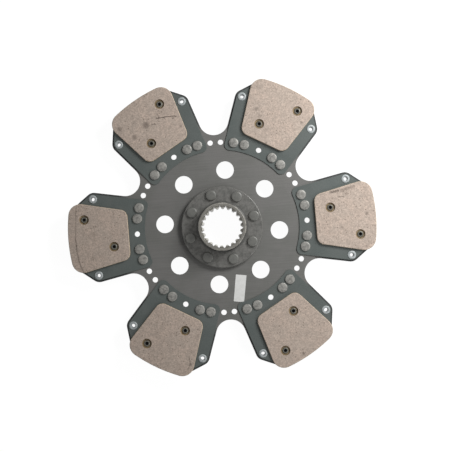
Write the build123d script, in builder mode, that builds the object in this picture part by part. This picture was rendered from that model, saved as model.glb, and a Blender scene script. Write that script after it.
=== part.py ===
from build123d import *
from math import acos, cos, degrees, hypot, pi, radians, sin, tan
import os

# A six-arm clutch disc without damper springs. A stamped disc with six arms is riveted to the flange of
# a splined hub. Each arm carries a thin carrier plate and a friction pad on its front, and the same turned
# over on its back. A step in the plate holds the pad a little off the arm, so that the pads can give.
# The axis is Z, the front with the hub's flange looks up, and the first arm points along X.
# Sizes are in millimetres and angles in degrees.

# Stack along the axis, counted up from the hub's rear end
hub_rear_length = 15.0
disc_thickness = 3.0
flange_thickness = 6.0
collar_length = 18.0
plate_thickness = 1.2
plate_step = 1.0
pad_thickness = 3.2

# Main circles
pad_outer_radius = 175.0
rivet_circle_radius = 97.0

# Main disc: arms, the round notches between them, and the corners cut off beside the pads
arm_count = 6
arm_end_setback = 5.0
arm_end_corner = 3.0
arm_flare = 11.0
notch_land = 8.4
notch_radius = 16.9
corner_cut_angle = 52.7
corner_cut_setback = 45.5
arm_corner_radius = 10.0

# Main disc: windows round the hub, and the small holes on the rivet circle
window_count = 8
window_circle_radius = 65.3
window_radius = 10.05
window_turn = -7.5
small_hole_radius = 3.1
notch_hole_angle = 3.5

# Carrier plates
plate_inset = 2.0
plate_inner_land = 9.0
plate_inner_corner = 6.3
plate_outer_corner = 8.0
plate_step_start = 5.0
plate_step_run = 3.5

# Friction pads
pad_inner_setback = 9.3
pad_inner_half_width = 27.4
pad_flare = 12.7
pad_inner_corner = 9.0
pad_outer_corner = 13.5
pad_edge_chamfer = 0.4
pad_recess_radius = 5.4
pad_recess_depth = 1.8

# Root rivets, four for each arm
root_rivet_angles = (10.3, 17.7)
root_rivet_radius = 3.0
root_head_radius = 5.6
root_head_height = 2.2
root_head_bevel = 0.9

# Eyelets, two for each arm, rolled over at both ends
eyelet_setback = 24.5
eyelet_angle = 16.75
eyelet_tube_radius = 3.0
eyelet_bore_radius = 2.1
eyelet_mouth_radius = 2.6
eyelet_rim_radius = 4.8
eyelet_rim_height = 0.9
eyelet_rim_bevel = 0.4

# Pad rivets, two for each pad, set off the arm's middle line
pad_rivet_outer_setback = 19.5
pad_rivet_outer_offset = -20.7
pad_rivet_inner_setback = 17.6
pad_rivet_inner_offset = 12.2
pad_rivet_radius = 2.2
pad_rivet_head_radius = 4.2
pad_rivet_head_height = 0.8
pad_rivet_roll_radius = 3.6
pad_rivet_roll_height = 0.9
pad_rivet_roll_bevel = 0.4
pad_rivet_bore_radius = 1.6
pad_rivet_bore_depth = 3.0

# Hub
collar_wall = 3.5
collar_chamfer = 0.8
collar_root_fillet = 2.0
flange_width = 19.5
flange_chamfer = 1.0
hub_rivet_count = 8
hub_rivet_edge = 8.5
hub_rivet_turn = 15.0
hub_rivet_radius = 4.0
hub_head_radius = 5.9
hub_head_height = 3.0
hub_head_bevel = 0.9

# Splined bore: involute teeth pointing inwards
spline_teeth = 22
spline_module = 2.0
spline_pressure_angle = 30.0
spline_tip_share = 0.5
spline_root_share = 0.75
spline_turn = 2.2
spline_lead_in = 0.4

# Clearances
rivet_clearance = 0.1
disc_bore_clearance = 0.1

# Heights that follow from the stack, on the hub's own scale
disc_bottom = hub_rear_length
disc_top = disc_bottom + disc_thickness
disc_middle = (disc_bottom + disc_top) / 2
flange_top = disc_top + flange_thickness
hub_top = flange_top + collar_length

# Heights above the middle of the disc, for what lies the same way on the front and on the back
arm_face = disc_thickness / 2
root_face = arm_face + plate_thickness
plate_face = root_face + plate_step
pad_face = plate_face + pad_thickness
recess_floor = pad_face - pad_recess_depth

# Radii of the hub, which follow from the spline outwards; a tooth's tip and root are shares of the module
spline_pitch_radius = spline_module * spline_teeth / 2
spline_minor_radius = spline_pitch_radius - spline_module * spline_tip_share
spline_major_radius = spline_pitch_radius + spline_module * spline_root_share
collar_radius = spline_major_radius + collar_wall
flange_radius = collar_radius + flange_width
hub_rivet_circle_radius = flange_radius - hub_rivet_edge

# Places that follow from the main circles
arm_pitch = 360 / arm_count
arm_end_radius = pad_outer_radius - arm_end_setback
corner_cut_distance = pad_outer_radius - corner_cut_setback
eyelet_circle_radius = pad_outer_radius - eyelet_setback
notch_centre_radius = rivet_circle_radius + notch_land + notch_radius
plate_inner_radius = rivet_circle_radius - plate_inner_land
plate_outer_radius = arm_end_radius - plate_inset
pad_inner_edge = rivet_circle_radius + pad_inner_setback


def polar(radius, angle):
    """A point at a radius and an angle."""
    return radius * cos(radians(angle)), radius * sin(radians(angle))


def meeting_point(normal_a, distance_a, normal_b, distance_b):
    """Where two lines meet, each given by its normal's angle and its distance from the axis."""
    spread = sin(radians(normal_b - normal_a))
    x = (distance_a * sin(radians(normal_b)) - distance_b * sin(radians(normal_a))) / spread
    y = (distance_b * cos(radians(normal_a)) - distance_a * cos(radians(normal_b))) / spread
    return x, y


def line_at_radius(normal, distance, radius):
    """Where a line crosses a circle about the axis, on the side nearer the arm's middle line."""
    angle = radians(normal) - acos(distance / radius)
    return radius * cos(angle), radius * sin(angle)


def across_notch(point):
    """A point of an arm's upper side, seen with the notch's middle line as X."""
    half_pitch = radians(arm_pitch / 2)
    x, y = point
    return x * cos(half_pitch) + y * sin(half_pitch), x * sin(half_pitch) - y * cos(half_pitch)


# The arm's side touches the notch's round bottom, and the corner cut crosses it
side_normal = 90 + arm_flare
side_distance = notch_centre_radius * sin(radians(arm_pitch / 2 - arm_flare)) - notch_radius
both_sides = (-1, 1)
root_rivet_places = [
    polar(rivet_circle_radius, side * angle) for side in both_sides for angle in root_rivet_angles
]
eyelet_places = [polar(eyelet_circle_radius, side * eyelet_angle) for side in both_sides]
pad_rivet_places = [
    (pad_outer_radius - pad_rivet_outer_setback, pad_rivet_outer_offset),
    (pad_inner_edge + pad_rivet_inner_setback, pad_rivet_inner_offset),
]
hub_rivet_pitch = 360 / hub_rivet_count
hub_rivet_angles = [hub_rivet_turn + hub_rivet_pitch * number for number in range(hub_rivet_count)]
hub_rivet_places = [polar(hub_rivet_circle_radius, angle) for angle in hub_rivet_angles]
front = Location((0, 0, disc_middle))
back = Location((0, 0, disc_middle), (180, 0, 0))


def finish(piece, name):
    """Label a piece and write its file."""
    piece.part.label = name
    export_step(piece.part, f"parts/{name}.step")


def finish_on_arms(piece, name, side):
    """Write one copy of a piece for each arm, on its front or turned over on its back."""
    for number in range(arm_count):
        with BuildPart() as placed:
            with PolarLocations(0, 1, start_angle=arm_pitch * number):
                with Locations(side):
                    add(piece.part)
        finish(placed, f"{name}_{number + 1}")


def make_notch():
    """The round-bottomed gap between two arms, with the corner cuts on both sides."""
    outside = arm_end_radius + notch_radius
    flare = arm_pitch / 2 - arm_flare
    tangent_x, tangent_y = polar(notch_radius, 90 + flare)
    tangent = (notch_centre_radius + tangent_x, tangent_y)
    corner = across_notch(meeting_point(side_normal, side_distance, corner_cut_angle, corner_cut_distance))
    far = across_notch(line_at_radius(corner_cut_angle, corner_cut_distance, outside))
    with BuildSketch() as notch:
        with BuildLine():
            CenterArc((notch_centre_radius, 0), notch_radius, 90 + flare, 180 - 2 * flare)
            FilletPolyline(tangent, corner, far, (outside + notch_radius, 0), radius=(arm_corner_radius, 0))
            FilletPolyline(
                (tangent[0], -tangent[1]),
                (corner[0], -corner[1]),
                (far[0], -far[1]),
                (outside + notch_radius, 0),
                radius=(arm_corner_radius, 0),
            )
        make_face()
    return notch


def make_main_disc():
    """The stamped disc: six arms in one piece with the web, and all its holes."""
    notch = make_notch()
    with BuildPart() as main_disc:
        with BuildSketch(Plane.XY.offset(disc_bottom)) as outline:
            Circle(arm_end_radius)
            with PolarLocations(0, arm_count, start_angle=arm_pitch / 2):
                add(notch.sketch, mode=Mode.SUBTRACT)
            arm_ends = outline.vertices().group_by(lambda corner: round(hypot(corner.X, corner.Y), 3))[-1]
            fillet(arm_ends, arm_end_corner)
            Circle(collar_radius + disc_bore_clearance, mode=Mode.SUBTRACT)
            with PolarLocations(window_circle_radius, window_count, start_angle=window_turn):
                Circle(window_radius, mode=Mode.SUBTRACT)
            with Locations(*hub_rivet_places):
                Circle(hub_rivet_radius + rivet_clearance, mode=Mode.SUBTRACT)
            for side in both_sides:
                start = arm_pitch / 2 + side * notch_hole_angle
                with PolarLocations(rivet_circle_radius, arm_count, start_angle=start):
                    Circle(small_hole_radius, mode=Mode.SUBTRACT)
            with PolarLocations(0, arm_count):
                cut_arm_holes()
        extrude(amount=disc_thickness)
    return main_disc


def cut_arm_holes():
    """The holes that run through an arm and its plates, cut from the sketch in hand."""
    with Locations((rivet_circle_radius, 0)):
        Circle(small_hole_radius, mode=Mode.SUBTRACT)
    with Locations(*root_rivet_places):
        Circle(root_rivet_radius + rivet_clearance, mode=Mode.SUBTRACT)
    with Locations(*eyelet_places):
        Circle(eyelet_tube_radius + rivet_clearance, mode=Mode.SUBTRACT)


def make_plate():
    """A carrier plate: a stepped strip of sheet, cut to the arm's outline set in all round."""
    distance = side_distance - plate_inset
    cut_distance = corner_cut_distance - plate_inset
    outside = arm_end_radius + notch_radius
    inner = line_at_radius(side_normal, distance, plate_inner_radius)
    corner = meeting_point(side_normal, distance, corner_cut_angle, cut_distance)
    far = line_at_radius(corner_cut_angle, cut_distance, outside)
    step_start = rivet_circle_radius + plate_step_start
    step_end = step_start + plate_step_run
    with BuildPart() as plate:
        with BuildSketch(Plane.XZ):
            with BuildLine():
                Polyline(
                    (0, arm_face),
                    (step_start, arm_face),
                    (step_end, arm_face + plate_step),
                    (outside, arm_face + plate_step),
                    (outside, plate_face),
                    (step_end, plate_face),
                    (step_start, root_face),
                    (0, root_face),
                    close=True,
                )
            make_face()
        extrude(amount=outside, both=True)
        with BuildSketch() as outline:
            with BuildLine():
                FilletPolyline(inner, corner, far, radius=plate_outer_corner)
                mirror(about=Plane.XZ)
                ThreePointArc(inner, (plate_inner_radius, 0), (inner[0], -inner[1]))
                Line(far, (far[0], -far[1]))
            make_face()
            Circle(plate_outer_radius, mode=Mode.INTERSECT)
            fillet(outline.vertices().sort_by(Axis.X)[:2], plate_inner_corner)
            cut_arm_holes()
            with Locations(*pad_rivet_places):
                Circle(pad_rivet_radius + rivet_clearance, mode=Mode.SUBTRACT)
        extrude(amount=plate_face, mode=Mode.INTERSECT)
    return plate


def make_pad():
    """A friction pad with a recess over each rivet."""
    reach = pad_outer_radius + pad_outer_corner
    half_width = pad_inner_half_width + (reach - pad_inner_edge) * tan(radians(pad_flare))
    rivet_hole_radius = pad_rivet_radius + rivet_clearance
    with BuildPart() as pad:
        with BuildSketch(Plane.XY.offset(plate_face)) as outline:
            with BuildLine():
                Polyline(
                    (pad_inner_edge, -pad_inner_half_width),
                    (reach, -half_width),
                    (reach, half_width),
                    (pad_inner_edge, pad_inner_half_width),
                    close=True,
                )
            make_face()
            Circle(pad_outer_radius, mode=Mode.INTERSECT)
            fillet(outline.vertices().sort_by(Axis.X)[:2], pad_inner_corner)
            fillet(outline.vertices().sort_by(Axis.X)[-2:], pad_outer_corner)
        extrude(amount=pad_thickness)
        chamfer(pad.faces().sort_by(Axis.Z)[-1].edges(), pad_edge_chamfer)
        with Locations(Plane.XY.offset(pad_face)):
            with Locations(*pad_rivet_places):
                CounterBoreHole(rivet_hole_radius, pad_recess_radius, pad_recess_depth, pad_thickness)
    return pad


def make_rivet(shank_radius, low, high, head_radius, head_height, head_bevel):
    """A solid rivet from low to high, with a bevelled head beyond each of them."""
    crown = head_radius - head_bevel
    with BuildPart() as rivet:
        with BuildSketch(Plane.XZ):
            with BuildLine():
                Polyline(
                    (0, low - head_height),
                    (crown, low - head_height),
                    (head_radius, low - head_height + head_bevel),
                    (head_radius, low),
                    (shank_radius, low),
                    (shank_radius, high),
                    (head_radius, high),
                    (head_radius, high + head_height - head_bevel),
                    (crown, high + head_height),
                    (0, high + head_height),
                    close=True,
                )
            make_face()
        revolve(axis=Axis.Z)
    return rivet


def make_eyelet():
    """A short tube through both plates, its ends rolled outwards into rims."""
    rim = plate_face + eyelet_rim_height
    with BuildPart() as eyelet:
        with BuildSketch(Plane.XZ):
            with BuildLine():
                Polyline(
                    (eyelet_bore_radius, 0),
                    (eyelet_bore_radius, plate_face),
                    (eyelet_mouth_radius, rim),
                    (eyelet_rim_radius - eyelet_rim_bevel, rim),
                    (eyelet_rim_radius, rim - eyelet_rim_bevel),
                    (eyelet_rim_radius, plate_face),
                    (eyelet_tube_radius, plate_face),
                    (eyelet_tube_radius, 0),
                    close=True,
                )
            make_face()
            mirror(about=Plane.XZ)
        revolve(axis=Axis.Z)
    return eyelet


def make_pad_rivet():
    """A semi-tubular rivet: a flat head under the plate, and a rolled end in the pad's recess."""
    under_plate = plate_face - plate_thickness
    rolled_top = recess_floor + pad_rivet_roll_height
    with BuildPart() as pad_rivet:
        with BuildSketch(Plane.XZ):
            with BuildLine():
                Polyline(
                    (0, under_plate - pad_rivet_head_height),
                    (pad_rivet_head_radius, under_plate - pad_rivet_head_height),
                    (pad_rivet_head_radius, under_plate),
                    (pad_rivet_radius, under_plate),
                    (pad_rivet_radius, recess_floor),
                    (pad_rivet_roll_radius, recess_floor),
                    (pad_rivet_roll_radius - pad_rivet_roll_bevel, rolled_top),
                    (pad_rivet_bore_radius, rolled_top),
                    (pad_rivet_bore_radius, rolled_top - pad_rivet_bore_depth),
                    (0, rolled_top - pad_rivet_bore_depth),
                    close=True,
                )
            make_face()
        revolve(axis=Axis.Z)
    return pad_rivet


def space_half_angle(radius):
    """Half the angle of a spline space at a radius, from the involute of the base circle, in degrees."""
    base_radius = spline_pitch_radius * cos(radians(spline_pressure_angle))
    pressure = acos(base_radius / radius)
    pitch_pressure = radians(spline_pressure_angle)
    at_pitch = pi / (2 * spline_teeth)
    return degrees(at_pitch + tan(pitch_pressure) - pitch_pressure - tan(pressure) + pressure)


def make_spline_space():
    """The gap between two teeth of the bore, as a closed outline along X."""
    inside = spline_minor_radius - spline_lead_in
    middle = (spline_minor_radius + spline_major_radius) / 2
    with BuildSketch() as space:
        with BuildLine():
            near = polar(spline_minor_radius, space_half_angle(spline_minor_radius))
            half = polar(middle, space_half_angle(middle))
            deep = polar(spline_major_radius, space_half_angle(spline_major_radius))
            flank = ThreePointArc(near, half, deep)
            lead = Line(near, (inside, near[1]))
            mirror(flank, about=Plane.XZ)
            mirror(lead, about=Plane.XZ)
            ThreePointArc(deep, (spline_major_radius, 0), (deep[0], -deep[1]))
            Line((inside, near[1]), (inside, -near[1]))
        make_face()
    return space


def make_hub():
    """The hub: a turned body with a flange and two collars, then the splined bore."""
    space = make_spline_space()
    mouth_radius = spline_major_radius + spline_lead_in
    lead_in = mouth_radius - spline_minor_radius
    with BuildPart() as hub:
        with BuildSketch(Plane.XZ) as section:
            with BuildLine():
                Polyline(
                    (spline_minor_radius, lead_in),
                    (mouth_radius, 0),
                    (collar_radius - collar_chamfer, 0),
                    (collar_radius, collar_chamfer),
                    (collar_radius, disc_top),
                    (flange_radius, disc_top),
                    (flange_radius, flange_top - flange_chamfer),
                    (flange_radius - flange_chamfer, flange_top),
                    (collar_radius, flange_top),
                    (collar_radius, hub_top - collar_chamfer),
                    (collar_radius - collar_chamfer, hub_top),
                    (mouth_radius, hub_top),
                    (spline_minor_radius, hub_top - lead_in),
                    close=True,
                )
            make_face()
            root = section.vertices().sort_by_distance((collar_radius, flange_top))[0]
            fillet(root, collar_root_fillet)
        revolve(axis=Axis.Z)
        with BuildSketch():
            with PolarLocations(0, spline_teeth, start_angle=spline_turn + 180 / spline_teeth):
                add(space.sketch)
        extrude(amount=hub_top, mode=Mode.SUBTRACT)
        with BuildSketch(Plane.XY.offset(disc_top)):
            with Locations(*hub_rivet_places):
                Circle(hub_rivet_radius + rivet_clearance)
        extrude(amount=flange_thickness, mode=Mode.SUBTRACT)
    return hub


def make_hub_rivets():
    """The rivets that hold the disc against the hub's flange."""
    shank = (hub_rivet_radius, disc_bottom, flange_top)
    rivet = make_rivet(*shank, hub_head_radius, hub_head_height, hub_head_bevel)
    with BuildPart() as hub_rivets:
        with Locations(*hub_rivet_places):
            add(rivet.part)
    return hub_rivets


def make_root_rivets():
    """The rivets that hold both carrier plates to the roots of the arms."""
    shank = (root_rivet_radius, -root_face, root_face)
    rivet = make_rivet(*shank, root_head_radius, root_head_height, root_head_bevel)
    return make_group_on_arms(rivet, root_rivet_places, [front])


def make_group_on_arms(fastener, places, sides):
    """One node of like fasteners: a copy at each place of each arm, on the given sides."""
    with BuildPart() as group:
        with PolarLocations(0, arm_count):
            with Locations(*sides):
                with Locations(*places):
                    add(fastener.part)
    return group


os.makedirs("parts", exist_ok=True)
plate = make_plate()
pad = make_pad()
finish(make_hub(), "hub")
finish(make_main_disc(), "main_disc")
finish(make_hub_rivets(), "hub_rivets")
finish_on_arms(plate, "front_plate", front)
finish_on_arms(plate, "back_plate", back)
finish_on_arms(pad, "front_pad", front)
finish_on_arms(pad, "back_pad", back)
finish(make_root_rivets(), "root_rivets")
finish(make_group_on_arms(make_eyelet(), eyelet_places, [front]), "eyelets")
finish(make_group_on_arms(make_pad_rivet(), pad_rivet_places, [front, back]), "pad_rivets")
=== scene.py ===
"""The looks of a six-arm clutch disc, built round its packed construction.

The construction gives every piece its size and place. This script gives each its finish: cut and
turned edges are softened, rivets are hammered or rolled over, the friction pads get worn rims, chips
and stains, and a small studio lights the disc on a white table, seen from straight above.
Lengths are in metres, the disc's axis is Z, and the first arm points along X.
"""

import logging
import math
import random
from dataclasses import dataclass
from enum import Enum
from functools import cache
from typing import Callable, Sequence

import bmesh
import bpy
from mathutils import Matrix, Vector


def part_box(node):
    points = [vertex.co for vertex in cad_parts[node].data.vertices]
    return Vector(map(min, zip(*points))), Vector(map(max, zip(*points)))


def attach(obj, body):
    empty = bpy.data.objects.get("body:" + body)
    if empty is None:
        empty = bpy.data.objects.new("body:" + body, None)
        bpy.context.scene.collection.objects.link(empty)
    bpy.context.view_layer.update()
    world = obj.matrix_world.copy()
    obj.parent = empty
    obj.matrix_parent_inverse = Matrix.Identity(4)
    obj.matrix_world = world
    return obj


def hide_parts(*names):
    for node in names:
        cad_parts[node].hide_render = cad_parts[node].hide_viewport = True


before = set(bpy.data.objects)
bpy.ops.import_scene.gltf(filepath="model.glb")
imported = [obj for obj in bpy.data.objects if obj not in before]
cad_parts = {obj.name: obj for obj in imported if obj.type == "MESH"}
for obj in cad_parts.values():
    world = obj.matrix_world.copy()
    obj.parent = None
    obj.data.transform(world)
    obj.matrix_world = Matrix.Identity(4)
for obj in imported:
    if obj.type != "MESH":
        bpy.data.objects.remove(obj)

log = logging.getLogger("clutch_disc")
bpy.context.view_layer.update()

MM = 0.001
ARM_COUNT = 6
ARM_PITCH = math.tau / ARM_COUNT
Z_AXIS = (0.0, 0.0, 1.0)
MERGE_DISTANCE = 0.004 * MM
FLAT_ANGLE = math.radians(0.6)
EDGE_ANGLE = math.radians(35)
ON_FACE = 0.01 * MM
ONLY_BODY = "root"


class Side(Enum):
    """The two faces of the disc: the hub's flange is on the front one."""

    FRONT = "front"
    BACK = "back"


class Grain(Enum):
    """The direction of the fine marks in a metal's skin."""

    ROLLED = "rolled"
    TURNED = "turned"
    FORGED = "forged"


@dataclass(frozen=True)
class Tone:
    """A colour as on a paint card, with red, green and blue from 0 to 255."""

    red: float
    green: float
    blue: float

    def linear(self) -> tuple[float, float, float, float]:
        """The colour as a shader takes it."""
        return (*(self._channel(value / 255) for value in (self.red, self.green, self.blue)), 1.0)

    @staticmethod
    def _channel(value: float) -> float:
        """One channel, from the display's curve to plain light."""
        return value / 12.92 if value <= 0.04045 else ((value + 0.055) / 1.055) ** 2.4


@dataclass(frozen=True)
class Photo:
    """How the photograph's frame of 452 by 452 pixels lies over the disc.

    Attributes:
        size: the photograph's side, in pixels.
        centre_x, centre_y: the disc's axis in the photograph, in pixels.
        pixel: the size of a pixel at the disc's front face.
        turn: how far the first arm is turned from the picture's right, counter-clockwise.
        distance: from the camera to the disc's front face.
        lean: how far the camera stands towards the picture's lower edge, as an angle.
    """

    size: float = 452.0
    centre_x: float = 222.25
    centre_y: float = 227.13
    pixel: float = 1.1385 * MM
    turn: float = math.radians(4.7)
    distance: float = 1.05
    lean: float = math.radians(1.1)

    def place(self, x: float, y: float, height: float) -> Vector:
        """The point of the disc that the photograph shows at a pixel.

        Args:
            x, y: the pixel, counted from the picture's upper left corner.
            height: how high the point lies in the part's own frame.

        Returns:
            The point in the part's own frame.
        """
        pixel = self.pixel * (1 - (height - stack.disc_top) / self.distance)
        right = (x - self.centre_x) * pixel
        up = (self.centre_y - y) * pixel
        flat = Matrix.Rotation(-self.turn, 2) @ Vector((right, up))
        return Vector((flat.x, flat.y, height))


@dataclass(frozen=True)
class Stack:
    """The heights at which the pieces meet, read from the frame."""

    disc_bottom: float
    disc_top: float
    plate_face: float
    pad_face: float

    @classmethod
    def from_frame(cls) -> "Stack":
        """Read the heights from the boxes of the nodes."""
        return cls(
            disc_bottom=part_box("main_disc")[0].z,
            disc_top=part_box("main_disc")[1].z,
            plate_face=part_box("front_plate_1")[1].z,
            pad_face=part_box("front_pad_1")[1].z,
        )

    @property
    def middle(self) -> float:
        """The height of the disc's middle, about which front and back mirror each other."""
        return (self.disc_bottom + self.disc_top) / 2


stack = Stack.from_frame()
photo = Photo()


def deselect_all() -> None:
    """Leave nothing selected, so that an operator acts on the next piece alone."""
    if bpy.context.object and bpy.context.object.mode != "OBJECT":
        bpy.ops.object.mode_set(mode="OBJECT")
    bpy.ops.object.select_all(action="DESELECT")


def take(*pieces: bpy.types.Object) -> None:
    """Select pieces, the first of them active.

    Args:
        pieces: the pieces to work on.
    """
    deselect_all()
    for piece in pieces:
        piece.select_set(True)
    bpy.context.view_layer.objects.active = pieces[0]


def pick(piece: bpy.types.Object, kind: str, test: Callable) -> int:
    """Open a piece in edit mode with some of its elements selected.

    Args:
        piece: the piece to open.
        kind: VERT, EDGE or FACE.
        test: says of a vertex, edge or face whether it is picked.

    Returns:
        How many were picked.
    """
    take(piece)
    bpy.ops.object.mode_set(mode="EDIT")
    bpy.ops.mesh.select_mode(type=kind)
    bpy.ops.mesh.select_all(action="DESELECT")
    mesh = bmesh.from_edit_mesh(piece.data)
    elements = {"VERT": mesh.verts, "EDGE": mesh.edges, "FACE": mesh.faces}[kind]
    picked = [element for element in elements if test(element)]
    for element in picked:
        element.select_set(True)
    mesh.select_flush_mode()
    bmesh.update_edit_mesh(piece.data)
    return len(picked)


def close_up(piece: bpy.types.Object) -> None:
    """Merge a mesh's doubles and turn all its faces outwards.

    Args:
        piece: the piece to clean.
    """
    pick(piece, "VERT", lambda vertex: True)
    bpy.ops.mesh.remove_doubles(threshold=MERGE_DISTANCE)
    bpy.ops.mesh.normals_make_consistent(inside=False)
    bpy.ops.object.mode_set(mode="OBJECT")


def round_edges(
    piece: bpy.types.Object, test: Callable, width: float, segments: int, profile: float = 0.5
) -> None:
    """Round some edges of a piece.

    Args:
        piece: the piece to round.
        test: says of an edge whether it is rounded.
        width: how far the rounding reaches over each face.
        segments: how many steps the rounding has.
        profile: how full the rounding is, from 0 to 1.
    """
    pick(piece, "EDGE", test)
    bpy.ops.mesh.bevel(offset=width, segments=segments, profile=profile, affect="EDGES")
    bpy.ops.object.mode_set(mode="OBJECT")


def raise_sheet(piece: bpy.types.Object, height: float) -> None:
    """Raise a flat outline into a closed block.

    Args:
        piece: the outline, a single face.
        height: how high the block is.
    """
    pick(piece, "FACE", lambda face: True)
    bpy.ops.mesh.extrude_region_move(TRANSFORM_OT_translate={"value": (0, 0, height)})
    close_up(piece)


def apply_modifier(piece: bpy.types.Object, kind: str, **settings: object) -> None:
    """Add one modifier to a piece and apply it at once.

    Args:
        piece: the piece to change.
        kind: the modifier's type.
        settings: the modifier's own settings.
    """
    take(piece)
    modifier = piece.modifiers.new(kind.title(), kind)
    for name, value in settings.items():
        setattr(modifier, name, value)
    bpy.ops.object.modifier_apply(modifier=modifier.name)


def soften(piece: bpy.types.Object, width: float, segments: int = 2) -> None:
    """Round the sharp edges of a piece and shade it smooth between them.

    Args:
        piece: the piece to soften.
        width: how far the rounding reaches over each face.
        segments: how many steps the rounding has.
    """
    apply_modifier(
        piece,
        "BEVEL",
        width=width,
        segments=segments,
        limit_method="ANGLE",
        angle_limit=EDGE_ANGLE,
        miter_outer="MITER_ARC",
    )
    smooth(piece)


def smooth(piece: bpy.types.Object) -> None:
    """Shade a piece smooth, with its flat faces kept flat.

    Args:
        piece: the piece to shade.
    """
    take(piece)
    bpy.ops.object.shade_smooth_by_angle(angle=EDGE_ANGLE)
    apply_modifier(piece, "WEIGHTED_NORMAL", keep_sharp=True, weight=80)


def copy_of_node(node: str, name: str) -> bpy.types.Object:
    """Copy a node of the frame as a clean mesh of whole faces.

    Args:
        node: the node to copy.
        name: the new piece's name.

    Returns:
        The new piece, with its doubles merged and its flat faces joined up.
    """
    piece = bpy.data.objects.new(name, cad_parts[node].data.copy())
    bpy.context.scene.collection.objects.link(piece)
    piece.data.materials.clear()
    take(piece)
    bpy.ops.mesh.customdata_custom_splitnormals_clear()
    pick(piece, "VERT", lambda vertex: True)
    bpy.ops.mesh.remove_doubles(threshold=MERGE_DISTANCE)
    bpy.ops.mesh.dissolve_limited(angle_limit=FLAT_ANGLE)
    bpy.ops.object.mode_set(mode="OBJECT")
    return piece


def copy_to(piece: bpy.types.Object, place: Matrix, name: str) -> bpy.types.Object:
    """Copy a piece, mesh and all, to another place.

    Args:
        piece: the piece to copy.
        place: where the copy goes, as a turn and a shift of the original.
        name: the copy's name.

    Returns:
        The copy, with its place in its mesh.
    """
    take(piece)
    bpy.ops.object.duplicate(linked=False)
    copy = bpy.context.object
    copy.name = name
    copy.matrix_world = place
    bpy.ops.object.transform_apply(location=True, rotation=True, scale=True)
    return copy


def repeated(pattern: bpy.types.Object, places: Sequence[Matrix], name: str) -> bpy.types.Object:
    """Copy a pattern to its places and join the copies.

    Args:
        pattern: the piece to copy, which is thrown away afterwards.
        places: where the copies go, each as a turn and a shift of the pattern.
        name: the joined piece's name.

    Returns:
        The joined copies, as shells of one mesh.
    """
    copies = [copy_to(pattern, place, name) for place in places]
    remove(pattern)
    take(*copies)
    bpy.ops.object.join()
    whole = bpy.context.object
    whole.name = name
    return whole


def remove(piece: bpy.types.Object) -> None:
    """Throw away a pattern or a cutter that has done its work.

    Args:
        piece: the piece to throw away.
    """
    bpy.data.objects.remove(piece, do_unlink=True)


def on_arm(number: int, side: Side = Side.FRONT) -> Matrix:
    """The turn from the first arm's front to another arm, or to its back.

    Args:
        number: the arm, from 0.
        side: the face of the disc.

    Returns:
        The turn about the disc's axis, after the turning over if it is for the back.
    """
    around = Matrix.Rotation(ARM_PITCH * number, 4, "Z")
    if side is Side.FRONT:
        return around
    up = Matrix.Translation((0, 0, stack.middle))
    return around @ up @ Matrix.Rotation(math.pi, 4, "X") @ up.inverted()


def places_on_arms(circle: float, angles: Sequence[float]) -> list[Matrix]:
    """The places of what is the same on every arm.

    Args:
        circle: the radius of the circle that they lie on.
        angles: how far they are turned from their arm's middle, in degrees.

    Returns:
        For each place, the way there from the Z axis.
    """
    out = Matrix.Translation((circle, 0, 0))
    turns = [Matrix.Rotation(math.radians(angle), 4, "Z") for angle in angles]
    return [on_arm(number) @ turn @ out for number in range(ARM_COUNT) for turn in turns]


def coat(piece: bpy.types.Object, *finishes: object) -> None:
    """Give a piece its finishes.

    Args:
        piece: the piece to dress.
        finishes: the finishes, in the order of the piece's skins.
    """
    for finish in finishes:
        piece.data.materials.append(finish.material())


def seat(piece: bpy.types.Object, slot: str, *nodes: str) -> None:
    """Hand a finished piece to the frame.

    Args:
        piece: the finished piece.
        slot: not used.
        nodes: the nodes that it stands for.
    """
    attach(piece, ONLY_BODY)
    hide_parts(*nodes)
    log.info("%s: %d faces, for %s", piece.name, len(piece.data.polygons), ", ".join(nodes))


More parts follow.
